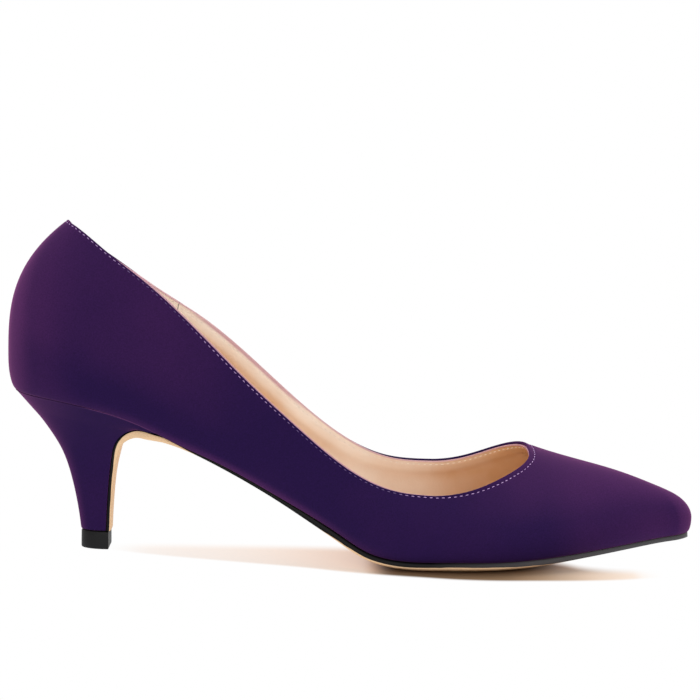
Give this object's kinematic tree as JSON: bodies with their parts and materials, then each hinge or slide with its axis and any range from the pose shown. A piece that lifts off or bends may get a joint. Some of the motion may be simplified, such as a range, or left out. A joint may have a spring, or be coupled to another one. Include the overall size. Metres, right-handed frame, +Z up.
{
  "type": "pointed stiletto pump",
  "caption": "Right pointed-toe pump with a low-cut open collar and a slim covered heel; the sole turns down over the heel's front.",
  "frame": {"origin": "on the floor, under the middle of the shoe's length and width", "axes": "+X towards the toe, +Y towards the medial (inner) side of the foot, +Z up"},
  "size_m": [0.251, 0.0789, 0.1212],
  "materials": {
    "nubuck": "purple nubuck, matt",
    "sock": "cream lining leather, satin",
    "sole": "beige sole sheet, satin, edge painted black",
    "tip": "black hard polyurethane, satin"
  },
  "bodies": {
    "root": {"upper": "nubuck", "heel": "nubuck", "insole": "sock", "outsole": "sole", "top_lift": "tip"}
  },
  "joints": []
}
